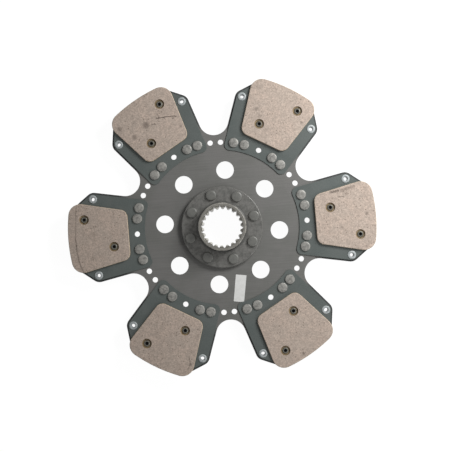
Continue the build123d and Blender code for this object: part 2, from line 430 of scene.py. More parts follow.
class Tracer:
    """Draws an outline as by hand: a point is extruded along lines and spun along arcs."""

    def __init__(self, name: str, start: Vector) -> None:
        """Put down the first point.

        Args:
            name: the new piece's name.
            start: where the outline begins.
        """
        deselect_all()
        bpy.ops.mesh.primitive_plane_add(size=MM, location=start)
        self.piece = bpy.context.object
        self.piece.name = name
        bpy.ops.object.transform_apply(location=True, rotation=True, scale=True)
        bpy.ops.object.mode_set(mode="EDIT")
        bpy.ops.mesh.select_mode(type="VERT")
        bpy.ops.mesh.merge(type="CENTER")
        self.at = start.copy()

    def line(self, *points: Vector) -> None:
        """Extrude the last point to each new one in turn.

        Args:
            points: the points to reach.
        """
        for point in points:
            bpy.ops.mesh.extrude_region_move(TRANSFORM_OT_translate={"value": point - self.at})
            self.at = point.copy()

    def arc(self, centre: Vector, turn: float, steps: int) -> None:
        """Spin the last point about a centre.

        Args:
            centre: the arc's centre.
            turn: the arc's angle, counter-clockwise seen from above.
            steps: how many chords the arc has.
        """
        bpy.ops.mesh.spin(steps=steps, angle=-turn, center=centre, axis=Z_AXIS)
        self.at = centre + Matrix.Rotation(turn, 3, "Z") @ (self.at - centre)

    def fill(self) -> bpy.types.Object:
        """Close the outline with a face, and leave edit mode.

        Returns:
            The outline, a single face.
        """
        bpy.ops.mesh.select_all(action="SELECT")
        bpy.ops.mesh.remove_doubles(threshold=MERGE_DISTANCE)
        bpy.ops.mesh.edge_face_add()
        bpy.ops.object.mode_set(mode="OBJECT")
        return self.piece

    def turn_on_lathe(self, steps: int) -> bpy.types.Object:
        """Spin the whole outline about the Z axis into a closed shape, and leave edit mode.

        Args:
            steps: how many facets the round has.

        Returns:
            The closed shape.
        """
        bpy.ops.mesh.select_all(action="SELECT")
        bpy.ops.mesh.remove_doubles(threshold=MERGE_DISTANCE)
        bpy.ops.mesh.spin(steps=steps, angle=math.tau, center=(0, 0, 0), axis=Z_AXIS)
        close_up(self.piece)
        return self.piece


def turned(name: str, profile: Sequence[tuple[float, float]], steps: int) -> bpy.types.Object:
    """Turn a profile about the Z axis, as on a lathe.

    Args:
        name: the new piece's name.
        profile: pairs of radius and height, from point to point.
        steps: how many facets the round has.

    Returns:
        The turned piece, standing on the Z axis.
    """
    points = [Vector((radius, 0, height)) for radius, height in profile]
    tracer = Tracer(name, points[0])
    tracer.line(*points[1:])
    return tracer.turn_on_lathe(steps)


def hammer(piece: bpy.types.Object, band: float, depth: float, size: float) -> None:
    """Beat shallow dents into both ends of a piece.

    Args:
        piece: the piece to dent.
        band: how far the dents reach from each end.
        depth: from the highest to the deepest point.
        size: how wide a dent is.
    """
    heights = [vertex.co.z for vertex in piece.data.vertices]
    low, high = min(heights) + band, max(heights) - band
    group = piece.vertex_groups.new(name="dented")
    group.add([index for index, z in enumerate(heights) if not low < z < high], 1.0, "REPLACE")
    texture = bpy.data.textures.new("dents", type="CLOUDS")
    texture.noise_scale = size
    apply_modifier(
        piece,
        "DISPLACE",
        texture=texture,
        texture_coords="LOCAL",
        strength=depth,
        mid_level=0.5,
        vertex_group=group.name,
    )
    piece.vertex_groups.clear()


class Nodes:
    """A node tree, with short ways to add nodes, set their sockets and link them."""

    def __init__(self, tree: bpy.types.NodeTree) -> None:
        """Start with an empty tree.

        Args:
            tree: the tree to fill.
        """
        self.tree = tree
        self.tree.nodes.clear()

    def add(self, kind: str, **settings: object) -> bpy.types.Node:
        """Add a node.

        Args:
            kind: the node's type.
            settings: the node's own settings.

        Returns:
            The node.
        """
        node = self.tree.nodes.new(kind)
        for name, value in settings.items():
            setattr(node, name, value)
        return node

    def link(self, source: bpy.types.NodeSocket, target: bpy.types.NodeSocket) -> None:
        """Link an output to an input."""
        self.tree.links.new(source, target)

    def feed(self, target: bpy.types.NodeSocket, value: object) -> None:
        """Give an input a link or a plain value.

        Args:
            target: the input.
            value: an output to link, a tone, or a number or vector to set.
        """
        if isinstance(value, bpy.types.NodeSocket):
            self.link(value, target)
        elif isinstance(value, Tone):
            target.default_value = value.linear()
        else:
            target.default_value = value

    def math(self, operation: str, first: object, second: object = 0.0) -> bpy.types.NodeSocket:
        """Work out one number from two.

        Args:
            operation: what the node does.
            first, second: two numbers, or outputs that give them.

        Returns:
            The output that gives the number.
        """
        node = self.add("ShaderNodeMath", operation=operation)
        self.feed(node.inputs[0], first)
        self.feed(node.inputs[1], second)
        return node.outputs[0]

    def diffuse(self, grey: float) -> bpy.types.NodeSocket:
        """A matt grey coat.

        Args:
            grey: how pale it is, from 0 to 1.

        Returns:
            The coat's shader.
        """
        node = self.add("ShaderNodeBsdfDiffuse")
        self.feed(node.inputs["Color"], (grey, grey, grey, 1.0))
        return node.outputs[0]

    def background(self, soft: bpy.types.NodeSocket, seen: bpy.types.NodeSocket) -> bpy.types.NodeSocket:
        """One look for the light on the disc, and another for what is seen behind it.

        Args:
            soft: the shader that lights the disc.
            seen: the shader for rays from the camera, and for mirrored and bent ones.

        Returns:
            The shader that chooses between them.
        """
        path = self.add("ShaderNodeLightPath")
        share = path.outputs["Is Camera Ray"]
        for name in ("Is Glossy Ray", "Is Transmission Ray"):
            share = self.math("MAXIMUM", share, path.outputs[name])
        node = self.add("ShaderNodeMixShader")
        for socket, value in zip(node.inputs, (share, soft, seen)):
            self.link(value, socket)
        return node.outputs[0]


class Bench(Nodes):
    """The node bench of one finish: a material with a shader to feed."""

    def __init__(self, name: str) -> None:
        """Start a material with an empty shader.

        Args:
            name: the material's name.
        """
        self.material = bpy.data.materials.new(name)
        self.material.use_nodes = True
        super().__init__(self.material.node_tree)
        self.shader = self.add("ShaderNodeBsdfPrincipled")
        self.surface = self.add("ShaderNodeOutputMaterial").inputs["Surface"]
        self.link(self.shader.outputs["BSDF"], self.surface)
        self.place = self.add("ShaderNodeTexCoord").outputs["Object"]

    def vector(self, operation: str, first: object, second: object = (0, 0, 0)) -> bpy.types.Node:
        """Work out one vector from two.

        Args:
            operation: what the node does.
            first, second: two vectors, or outputs that give them.

        Returns:
            The whole node, because some operations give a number.
        """
        node = self.add("ShaderNodeVectorMath", operation=operation)
        self.feed(node.inputs[0], first)
        self.feed(node.inputs[1], second)
        return node

    def spread(
        self,
        source: bpy.types.NodeSocket,
        low: float,
        high: float,
        to_low: float = 0.0,
        to_high: float = 1.0,
    ) -> bpy.types.NodeSocket:
        """Spread a range of a number smoothly over another range.

        Args:
            source: the number.
            low, high: the range that counts.
            to_low, to_high: what its ends become.

        Returns:
            The output that gives the spread number.
        """
        node = self.add("ShaderNodeMapRange", interpolation_type="SMOOTHSTEP")
        for socket, value in zip(node.inputs, (source, low, high, to_low, to_high)):
            self.feed(socket, value)
        return node.outputs["Result"]

    def mix(self, share: object, first: object, second: object) -> bpy.types.NodeSocket:
        """Mix two colours.

        Args:
            share: the share of the second colour, from 0 to 1.
            first, second: the colours, or outputs that give them.

        Returns:
            The output that gives the mixed colour.
        """
        node = self.add("ShaderNodeMix", data_type="RGBA")
        self.feed(node.inputs["Factor"], share)
        self.feed(node.inputs[6], first)
        self.feed(node.inputs[7], second)
        return node.outputs[2]

    def noise(
        self, size: float, detail: float = 3.0, roughness: float = 0.55, place: object = None
    ) -> bpy.types.NodeSocket:
        """Cloudy noise.

        Args:
            size: how wide one cloud is.
            detail: how many finer layers lie over it.
            roughness: how strong the finer layers are.
            place: the coordinates, or the piece's own.

        Returns:
            A number from 0 to 1.
        """
        node = self.add("ShaderNodeTexNoise")
        self.feed(node.inputs["Vector"], place or self.place)
        self.feed(node.inputs["Scale"], 1 / size)
        self.feed(node.inputs["Detail"], detail)
        self.feed(node.inputs["Roughness"], roughness)
        return node.outputs["Fac"]

    def shifted(self, offset: tuple[float, float, float]) -> bpy.types.NodeSocket:
        """The piece's coordinates, moved, so that two patterns of a size don't coincide."""
        return self.vector("ADD", self.place, offset).outputs["Vector"]

    def stretched(self, scale: tuple[float, float, float]) -> bpy.types.NodeSocket:
        """The piece's coordinates, drawn out along one axis."""
        return self.vector("MULTIPLY", self.place, scale).outputs["Vector"]

    def cells(self, size: float, place: object = None) -> tuple[bpy.types.NodeSocket, bpy.types.NodeSocket]:
        """A packed mass of grains.

        Args:
            size: how wide a grain is.
            place: the coordinates, or the piece's own.

        Returns:
            The distance from a grain's middle in grains, and a number from 0 to 1 for each grain.
        """
        node = self.add("ShaderNodeTexVoronoi")
        self.feed(node.inputs["Vector"], place or self.place)
        self.feed(node.inputs["Scale"], 1 / size)
        red = self.add("ShaderNodeSeparateColor")
        self.link(node.outputs["Color"], red.inputs["Color"])
        return node.outputs["Distance"], red.outputs["Red"]

    def specks(self, spacing: float, reach: float, share: float, offset: tuple) -> bpy.types.NodeSocket:
        """Scattered specks.

        Args:
            spacing: from one possible speck to the next.
            reach: a speck's radius, as a share of the spacing.
            share: how many of the possible specks are there, from 0 to 1.
            offset: moves the pattern.

        Returns:
            1 in a speck and 0 between them.
        """
        distance, number = self.cells(spacing, self.shifted(offset))
        near = self.spread(distance, reach, reach * 0.5)
        return self.math("MULTIPLY", near, self.math("LESS_THAN", number, share))

    def around_axis(self) -> tuple[bpy.types.NodeSocket, bpy.types.NodeSocket]:
        """Coordinates for what is turned about the disc's axis.

        Returns:
            The distance from the axis, and a vector of that distance and the height.
        """
        flat = self.vector("MULTIPLY", self.place, (1, 1, 0)).outputs["Vector"]
        radius = self.vector("LENGTH", flat).outputs["Value"]
        split = self.add("ShaderNodeSeparateXYZ")
        self.link(self.place, split.inputs["Vector"])
        both = self.add("ShaderNodeCombineXYZ")
        self.link(radius, both.inputs["X"])
        self.link(split.outputs["Z"], both.inputs["Y"])
        return radius, both.outputs["Vector"]

    def bump(self, height: bpy.types.NodeSocket, depth: float, strength: float = 1.0) -> None:
        """Give the skin a fine relief.

        Args:
            height: the relief, from 0 to 1.
            depth: how deep it is.
            strength: how strongly it shows.
        """
        node = self.add("ShaderNodeBump")
        self.feed(node.inputs["Strength"], strength)
        self.feed(node.inputs["Distance"], depth)
        self.link(height, node.inputs["Height"])
        self.link(node.outputs["Normal"], self.shader.inputs["Normal"])

    def set(self, **values: object) -> None:
        """Set sockets of the shader.

        Args:
            values: a value or an output for each socket, named with _ for each space.
        """
        names = {socket.name.lower().replace(" ", "_"): socket for socket in self.shader.inputs}
        for name, value in values.items():
            self.feed(names[name], value)


@dataclass(frozen=True)
class SteelFinish:
    """The skin of a steel piece.

    Attributes:
        name: the material's name.
        tone: the skin's main colour.
        stain: the colour of its blotches.
        blotch: how wide a blotch is.
        grain: which way its fine marks run.
        grain_size: how wide a fine mark is.
        grain_depth: how deep the fine marks are.
        contrast: how much darker the marks are, from 0 to 1.
        metal: how metallic the skin is, from 0 to 1.
        roughness: how dull it is, from 0 to 1.
        shine: how strong the gloss of its coat is, from 0 to 1.
        second_tone: another colour, near the axis or away from it, on a piece that has one; it paints shade
            on the disc's arms and round the hub collar's foot, and dulls the pale chamfers on the hub's
            flange.
        second_from, second_to: the distances between which that colour comes in.
    """

    name: str
    tone: Tone
    stain: Tone
    blotch: float = 0.012
    grain: Grain = Grain.FORGED
    grain_size: float = 0.6 * MM
    grain_depth: float = 0.03 * MM
    contrast: float = 0.25
    metal: float = 0.6
    roughness: float = 0.5
    shine: float = 0.5
    second_tone: Tone | None = None
    second_from: float = 0.0
    second_to: float = 0.0

    @cache
    def material(self) -> bpy.types.Material:
        """Mix the finish.

        Returns:
            The material, the same one for each call.
        """
        bench = Bench(self.name)
        radius, lathe_place = bench.around_axis()
        blotches = bench.noise(self.blotch, detail=4, roughness=0.6)
        marks = self._marks(bench, lathe_place)
        tone = bench.mix(bench.spread(blotches, 0.35, 0.7), self.tone, self.stain)
        if self.second_tone:
            share = bench.spread(radius, self.second_from, self.second_to)
            tone = bench.mix(share, tone, self.second_tone)
        shade = bench.spread(marks, 0.3, 0.7, 1 - self.contrast, 1 + self.contrast)
        scaled = bench.vector("SCALE", tone)
        bench.feed(scaled.inputs["Scale"], shade)
        bench.set(
            base_color=scaled.outputs["Vector"],
            metallic=self.metal,
            roughness=bench.spread(blotches, 0.3, 0.7, self.roughness - 0.05, self.roughness + 0.08),
            specular_ior_level=self.shine,
        )
        bench.bump(marks, self.grain_depth)
        return bench.material

    def _marks(self, bench: Bench, lathe_place: bpy.types.NodeSocket) -> bpy.types.NodeSocket:
        """The fine marks along the finish's own grain.

        Args:
            bench: the finish's bench.
            lathe_place: the distance from the axis and the height, as a vector.

        Returns:
            A number from 0 to 1.
        """
        if self.grain is Grain.TURNED:
            return bench.noise(self.grain_size, detail=2, place=lathe_place)
        if self.grain is Grain.ROLLED:
            return bench.noise(self.grain_size, detail=3, place=bench.stretched((0.02, 1, 1)))
        return bench.noise(self.grain_size, detail=4, roughness=0.65)


@dataclass(frozen=True)
class Scratch:
    """A thin dark line on a front pad.

    Attributes:
        places: the points that it passes, each in millimetres out along the pad's arm and across it,
            counter-clockwise.
        width: half the width of the line.
        strength: how dark it is, from 0 to 1.
    """

    places: tuple[tuple[float, float], ...]
    width: float
    strength: float


@dataclass(frozen=True)
class Smudge:
    """A dark spot on a front pad, with its centre given as a scratch's points are."""

    centre: tuple[float, float]
    radius: float
    strength: float


@dataclass(frozen=True)
class FrictionFinish:
    """The face of a sintered friction pad: a pale ground with grains, flecks and stains.

    Attributes:
        name: the material's name.
        ground: the main colour.
        warm, dull: the colours that the ground drifts to.
        fleck: the colour of the dark grains.
        soot: the colour of scratches and smudges.
        scratches, smudges: the marks of handling.
        fray_width: how far a mark's edge frays.
        fray_full: half the width from which a scratch frays as far as a smudge.
        arm: the number of the arm that carries the marks, from 0.
    """

    name: str = "friction_face"
    ground: Tone = Tone(192, 176, 163)
    warm: Tone = Tone(197, 178, 164)
    dull: Tone = Tone(152, 140, 130)
    fleck: Tone = Tone(104, 90, 80)
    soot: Tone = Tone(84, 74, 68)
    scratches: tuple[Scratch, ...] = ()
    smudges: tuple[Smudge, ...] = ()
    fray_width: float = 2.4 * MM
    fray_full: float = 0.9 * MM
    arm: int = 0

    @cache
    def material(self) -> bpy.types.Material:
        """Mix the finish.

        Returns:
            The material, the same one for each call.
        """
        bench = Bench(self.name)
        drift = bench.noise(14 * MM, detail=3)
        patches = bench.noise(6 * MM, detail=2, place=bench.shifted((0.3, 0.1, 0.2)))
        mottle = bench.noise(2.0 * MM, detail=3, roughness=0.75, place=bench.shifted((0.1, 0.5, 0.3)))
        _, granules = bench.cells(1.3 * MM)
        grains = bench.noise(1.0 * MM, detail=4, roughness=0.75)
        flecks = bench.specks(3.0 * MM, 0.28, 0.34, (0.11, 0.05, 0.0))
        crumbs = bench.specks(1.7 * MM, 0.32, 0.3, (0.02, 0.21, 0.0))
        clouds = (
            (drift, 0.35, 0.65, 1.0, self.warm),
            (patches, 0.45, 0.75, 0.4, self.dull),
            (mottle, 0.42, 0.68, 0.6, self.dull),
            (granules, 0.3, 1.0, 0.6, self.dull),
            (grains, 0.45, 0.66, 0.85, self.dull),
        )
        tone = self.ground
        for cloud, low, high, share, colour in clouds:
            tone = bench.mix(bench.spread(cloud, low, high, 0.0, share), tone, colour)
        for spots, share in ((flecks, 0.6), (crumbs, 0.4)):
            tone = bench.mix(bench.math("MULTIPLY", spots, share), tone, self.fleck)
        for mask in self._marks(bench):
            tone = bench.mix(mask, tone, self.soot)
        relief = bench.math("SUBTRACT", grains, bench.math("MULTIPLY", flecks, 0.6))
        bench.set(base_color=tone, roughness=0.86, specular_ior_level=0.25)
        bench.bump(relief, 0.16 * MM)
        return bench.material

    def _marks(self, bench: Bench) -> list[bpy.types.NodeSocket]:
        """The scratches and smudges, each with a ragged edge.

        Args:
            bench: the finish's bench.

        Returns:
            For each mark, how much of the surface it covers, from 0 to 1.
        """
        if not self.scratches and not self.smudges:
            return []
        ragged = bench.noise(1.4 * MM, detail=3, place=bench.shifted((0.4, 0.4, 0.1)))
        fray = bench.math("MULTIPLY", bench.math("SUBTRACT", ragged, 0.5), self.fray_width)
        masks = []
        for scratch in self.scratches:
            points = [self._on_pad(place) for place in scratch.places]
            nearest = None
            for start, end in zip(points, points[1:]):
                away = self._distance_to_line(bench, start, end - start)
                nearest = bench.math("MINIMUM", nearest, away) if nearest else away
            own_fray = bench.math("MULTIPLY", fray, scratch.width / self.fray_full)
            frayed = bench.math("ADD", nearest, own_fray)
            masks.append(bench.spread(frayed, scratch.width, scratch.width * 0.3, 0.0, scratch.strength))
        for smudge in self.smudges:
            away = bench.vector("DISTANCE", bench.place, self._on_pad(smudge.centre)).outputs["Value"]
            frayed = bench.math("ADD", away, fray)
            masks.append(bench.spread(frayed, smudge.radius, smudge.radius * 0.3, 0.0, smudge.strength))
        return masks

    def _on_pad(self, place: tuple[float, float]) -> Vector:
        """The point of the pad's face at a place along and across its arm, in millimetres."""
        return on_arm(self.arm) @ Vector((place[0] * MM, place[1] * MM, stack.pad_face))

    @staticmethod
    def _distance_to_line(bench: Bench, start: Vector, along: Vector) -> bpy.types.NodeSocket:
        """How far the surface lies from a straight line.

        Args:
            bench: the finish's bench.
            start: where the line starts.
            along: from its start to its end.

        Returns:
            The output that gives the distance.
        """
        off_start = bench.vector("SUBTRACT", bench.place, start).outputs["Vector"]
        travel = bench.vector("DOT_PRODUCT", off_start, along / along.length_squared).outputs["Value"]
        kept = bench.math("MINIMUM", bench.math("MAXIMUM", travel, 0.0), 1.0)
        foot = bench.vector("SCALE", along)
        bench.feed(foot.inputs["Scale"], kept)
        return bench.vector("DISTANCE", off_start, foot.outputs["Vector"]).outputs["Value"]


@dataclass(frozen=True)
class PlainFinish:
    """A dull coat with a soft mottle, for paper, for the painted shade in the rivets' bores, and for the
    pads' darker sides, which carry painted shade, their pale rims, which carry painted highlight, and their
    brown recesses.
    """

    name: str
    tone: Tone
    mottle: Tone
    size: float = 1.5 * MM
    roughness: float = 0.8

    @cache
    def material(self) -> bpy.types.Material:
        """Mix the finish.

        Returns:
            The material, the same one for each call.
        """
        bench = Bench(self.name)
        cloud = bench.noise(self.size, detail=4, roughness=0.65)
        bench.set(
            base_color=bench.mix(bench.spread(cloud, 0.35, 0.7), self.tone, self.mottle),
            roughness=self.roughness,
            specular_ior_level=0.3,
        )
        bench.bump(cloud, 0.05 * MM)
        return bench.material


@dataclass
class MainDisc:
    """The stamped six-arm disc, grey in the middle and darker out on its arms, partly darker steel and
    partly painted shade beside the raised plates.
    """

    edge_round: float = 0.2 * MM
    finish: SteelFinish = SteelFinish(
        name="rolled_steel",
        tone=Tone(105, 104, 102),
        stain=Tone(99, 99, 96),
        blotch=0.03,
        grain=Grain.ROLLED,
        grain_size=0.9 * MM,
        grain_depth=0.01 * MM,
        contrast=0.07,
        metal=0.1,
        shine=0.25,
        # The darker tone out on the arms is partly the steel's own and partly painted shade along the edges
        # of the raised plates.
        second_tone=Tone(60, 62, 61),
        second_from=0.112,
        second_to=0.124,
    )

    def build(self) -> None:
        """Soften the stamped edges and dress the disc."""
        disc = copy_of_node("main_disc", "stamped_disc")
        soften(disc, self.edge_round)
        coat(disc, self.finish)
        seat(disc, "disc_steel", "main_disc")


@dataclass
class CarrierPlates:
    """The thin stepped plates on both faces of the arms."""

    edge_round: float = 0.15 * MM
    finish: SteelFinish = SteelFinish(
        name="blued_sheet",
        tone=Tone(87, 92, 90),
        stain=Tone(80, 86, 84),
        blotch=0.022,
        grain_size=1.2 * MM,
        grain_depth=0.01 * MM,
        contrast=0.07,
        metal=0.1,
        roughness=0.45,
        shine=0.25,
    )

    def build(self) -> None:
        """Soften and dress each plate."""
        for side in Side:
            for number in range(1, ARM_COUNT + 1):
                node = f"{side.value}_plate_{number}"
                plate = copy_of_node(node, f"{node}_sheet")
                soften(plate, self.edge_round)
                coat(plate, self.finish)
                seat(plate, "plate_steel", node)


class HubSkin(Enum):
    """The skins of the hub, in the order of its materials."""

    FORGED = 0
    BARE = 1
    BORE = 2
    WORN = 3


@dataclass
class Hub:
    """The turned hub: dark forged skin on the flange with a painted shade ring round the collar's foot,
    bare turned steel on the collars, a pale matte bore and pale chamfers that carry painted highlight.

    Attributes:
        collar_radius: the outer radius of both collars.
        edge_round, rim_round: how far fine edges and outer rims are rounded.
        skin, bare, bore, worn: the finishes of the flange, the collars, the bore and the pale rims; the
            bore's pale matte tone is painted highlight, and the rims' pale tone is partly wear and partly
            painted highlight.
        bore_radius: the radius that holds all of the bore's spaces.
        bore_wall, disc_half: how far outside that radius, and how far from the disc's middle, a rim lies.
        flange_edge: the radius from which the flange's chamfer takes the pale rim finish.
        chamfer: how far in from its radius a collar's chamfer takes the pale rim finish.
        slack: what may be missing at a radius.
        slope: the range of a normal's height within which a face slopes.
    """

    collar_radius: float = 27 * MM
    edge_round: float = 0.18 * MM
    skin: SteelFinish = SteelFinish(
        name="flange_skin",
        tone=Tone(104, 103, 100),
        stain=Tone(82, 82, 79),
        blotch=0.0045,
        grain_size=1.6 * MM,
        grain_depth=0.05 * MM,
        contrast=0.14,
        metal=0.2,
        roughness=0.42,
        shine=0.35,
        # The darker second tone near the axis paints shade: a dark ring round the collar's foot, where it
        # meets the flange.
        second_tone=Tone(58, 58, 56),
        second_from=0.0305,
        second_to=0.0275,
    )
    bare: SteelFinish = SteelFinish(
        name="turned_steel",
        tone=Tone(126, 124, 118),
        stain=Tone(106, 104, 99),
        blotch=0.006,
        grain=Grain.TURNED,
        contrast=0.18,
        metal=0.75,
        roughness=0.28,
    )
    # The bore's pale matte tone stands in for the lamp's glare on the bare bore walls: painted highlight.
    bore: SteelFinish = SteelFinish(
        name="broached_steel",
        tone=Tone(194, 192, 184),
        stain=Tone(150, 148, 141),
        blotch=0.004,
        grain_size=0.5 * MM,
        grain_depth=0.015 * MM,
        contrast=0.08,
        metal=0.0,
        roughness=0.3,
        shine=0.4,
    )
    # Pale matte chamfers, partly bare worn edge and partly painted highlight that brings out the lamp's
    # glint; the second tone dulls them on the flange.
    worn: SteelFinish = SteelFinish(
        name="worn_edge_steel",
        tone=Tone(164, 161, 153),
        stain=Tone(96, 94, 89),
        blotch=0.005,
        grain=Grain.TURNED,
        contrast=0.15,
        metal=0.0,
        roughness=0.3,
        second_tone=Tone(92, 91, 88),
        second_from=0.03,
        second_to=0.035,
    )
    bore_radius: float = 23.7 * MM
    bore_wall: float = 1.5 * MM
    disc_half: float = 2 * MM
    rim_round: float = 0.35 * MM
    flange_edge: float = 45 * MM
    chamfer: float = 1.6 * MM
    slack: float = 0.1 * MM
    slope: tuple[float, float] = (0.1, 0.97)

    def build(self) -> None:
        """Round the hub's rims and edges, and give its stretches their own finishes."""
        hub = copy_of_node("hub", "turned_hub")
        round_edges(hub, self._is_rim, self.rim_round, 3)
        soften(hub, self.edge_round)
        coat(hub, self.skin, self.bare, self.bore, self.worn)
        for face in hub.data.polygons:
            face.material_index = self._skin_of(hub, face).value
        seat(hub, "hub_steel", "hub")

    def _is_rim(self, edge: bmesh.types.BMEdge) -> bool:
        """Whether an edge lies on an outer rim of a collar or of the flange's front.

        Args:
            edge: an edge of the hub.

        Returns:
            True on such a rim, false in the bore, next to the disc and on all flat edges.
        """
        inner = self.bore_radius + self.bore_wall
        for vertex in edge.verts:
            if vertex.co.xy.length <= inner or abs(vertex.co.z - stack.middle) <= self.disc_half:
                return False
        return edge.calc_face_angle(0.0) > EDGE_ANGLE

    def _skin_of(self, hub: bpy.types.Object, face: bpy.types.MeshPolygon) -> HubSkin:
        """Which of the hub's skins a face wears.

        Args:
            hub: the hub.
            face: one of its faces.

        Returns:
            The skin.
        """
        reach = max(hub.data.vertices[index].co.xy.length for index in face.vertices)
        slopes = self.slope[0] < abs(face.normal.z) < self.slope[1]
        if reach < self.bore_radius:
            return HubSkin.BORE
        if reach < self.collar_radius + self.slack:
            outer = face.center.xy.length > self.collar_radius - self.chamfer
            return HubSkin.WORN if slopes and outer else HubSkin.BARE
        return HubSkin.WORN if slopes and face.center.xy.length > self.flange_edge else HubSkin.FORGED


@dataclass(frozen=True)
class Rivet:
    """A solid rivet, drawn about the Z axis with both its heads.

    Attributes:
        shank_radius: of the shank.
        head_radius, head_height: of each head.
        dome: how much the head's middle stands above its rim.
        bevel: of the head's rim.
        bevel_sag: where the bevel's middle lies, as a share of the bevel.
        rings, facets: how finely a head is divided.
    """

    shank_radius: float
    head_radius: float
    head_height: float
    dome: float
    bevel: float = 0.9 * MM
    bevel_sag: float = 0.3
    rings: int = 6
    facets: int = 40

    def build(self, node: str) -> bpy.types.Object:
        """Turn the rivet.

        Args:
            node: the node of the rivets, which gives the heights of both ends.

        Returns:
            The rivet, closed, on the Z axis.
        """
        crown = self.head_radius - self.bevel
        rim = self.head_height - self.dome
        sag = self.bevel_sag * self.bevel
        head = []
        for ring in range(self.rings + 1):
            rise = self.head_height - self.dome * (ring / self.rings) ** 2
            head.append((crown * ring / self.rings, rise))
        head.append((self.head_radius - sag, rim - sag))
        head.append((self.head_radius, rim - self.bevel))
        head.append((self.head_radius, 0.0))
        head.append((self.shank_radius, 0.0))
        low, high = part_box(node)
        upper = [(radius, high.z - self.head_height + height) for radius, height in head]
        lower = [(radius, low.z + self.head_height - height) for radius, height in reversed(head)]
        return turned("rivet_pattern", upper + lower, self.facets)


@dataclass
class HubRivets:
    """The eight rivets that hold the disc against the hub's flange."""

    circle: float = 38 * MM
    first: float = math.radians(15)
    count: int = 8
    rivet: Rivet = Rivet(4 * MM, 5.9 * MM, 3 * MM, 0.25 * MM)
    finish: SteelFinish = SteelFinish(
        name="hub_rivet_steel",
        tone=Tone(99, 99, 95),
        stain=Tone(88, 88, 85),
        blotch=0.004,
        grain_size=0.7 * MM,
        contrast=0.08,
        metal=0.25,
        roughness=0.36,
    )

    def build(self) -> None:
        """Turn one rivet, copy it round the hub and dress them all."""
        places = []
        for number in range(self.count):
            turn = Matrix.Rotation(-self.first - math.tau * number / self.count, 3, "Z")
            places.append(Matrix.Translation(Vector((self.circle, 0, 0)) @ turn))
        rivets = repeated(self.rivet.build("hub_rivets"), places, "headed_hub_rivets")
        hammer(rivets, band=0.6 * MM, depth=0.12 * MM, size=2.5 * MM)
        smooth(rivets)
        coat(rivets, self.finish)
        seat(rivets, "hub_rivet_steel", "hub_rivets")


@dataclass
class RootRivets:
    """The hammered rivets that hold both plates to the roots of the arms, four for each arm."""

    circle: float = 97 * MM
    angles: tuple[float, ...] = (-17.7, -10.3, 10.3, 17.7)
    rivet: Rivet = Rivet(3 * MM, 5.6 * MM, 2.2 * MM, 0.3 * MM)
    finish: SteelFinish = SteelFinish(
        name="hammered_steel",
        tone=Tone(135, 134, 129),
        stain=Tone(99, 98, 95),
        blotch=0.0028,
        grain_size=1.2 * MM,
        grain_depth=0.06 * MM,
        contrast=0.1,
        metal=0.35,
    )

    def build(self) -> None:
        """Turn one rivet, copy it to all arms, hammer the heads and dress them."""
        places = places_on_arms(self.circle, self.angles)
        rivets = repeated(self.rivet.build("root_rivets"), places, "hammered_root_rivets")
        hammer(rivets, band=1.3 * MM, depth=0.26 * MM, size=3.2 * MM)
        smooth(rivets)
        coat(rivets, self.finish)
        seat(rivets, "rivet_steel", "root_rivets")


@dataclass
class Eyelets:
    """The short tubes through the arms' outer corners, rolled over at both ends.

    Attributes:
        circle, angles: where they stand, in metres from the axis and in degrees from the arm's middle.
        bore, mouth: the inner radii of the tube and of its rolled rim.
        tube, rim: the outer radii of the tube and of its rolled rim.
        rim_height: how high a rim stands above the plate.
        facets: how finely the round is divided.
        finish: the skin.
    """

    circle: float = 150.5 * MM
    angles: tuple[float, ...] = (-16.75, 16.75)
    bore: float = 2.1 * MM
    mouth: float = 2.6 * MM
    tube: float = 3 * MM
    rim: float = 4.8 * MM
    rim_height: float = 0.9 * MM
    facets: int = 36
    finish: SteelFinish = SteelFinish(
        name="zinc_plate",
        tone=Tone(160, 165, 165),
        stain=Tone(136, 141, 142),
        blotch=0.0025,
        grain_size=0.5 * MM,
        grain_depth=0.02 * MM,
        contrast=0.07,
        metal=0.15,
        roughness=0.45,
        shine=0.3,
    )

    def build(self) -> None:
        """Turn one eyelet with its rolled rims, copy it to all arms and dress them."""
        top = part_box("eyelets")[1].z - stack.middle
        seat_height = top - self.rim_height
        upper = [
            (self.bore, seat_height - 0.4 * MM),
            (self.bore + 0.2 * MM, seat_height + 0.35 * MM),
            (self.mouth, top - 0.12 * MM),
            (self.mouth + 0.5 * MM, top),
            (self.rim - 0.9 * MM, top - 0.06 * MM),
            (self.rim - 0.25 * MM, top - 0.3 * MM),
            (self.rim, seat_height + 0.3 * MM),
            (self.rim - 0.12 * MM, seat_height),
            (self.tube, seat_height),
        ]
        lower = [(radius, -height) for radius, height in reversed(upper)]
        profile = [(radius, stack.middle + height) for radius, height in upper + lower + upper[:1]]
        places = places_on_arms(self.circle, self.angles)
        pattern = turned("eyelet_pattern", profile, self.facets)
        eyelets = repeated(pattern, places, "rolled_eyelets")
        hammer(eyelets, band=MM, depth=0.08 * MM, size=1.6 * MM)
        smooth(eyelets)
        coat(eyelets, self.finish)
        seat(eyelets, "zinc", "eyelets")


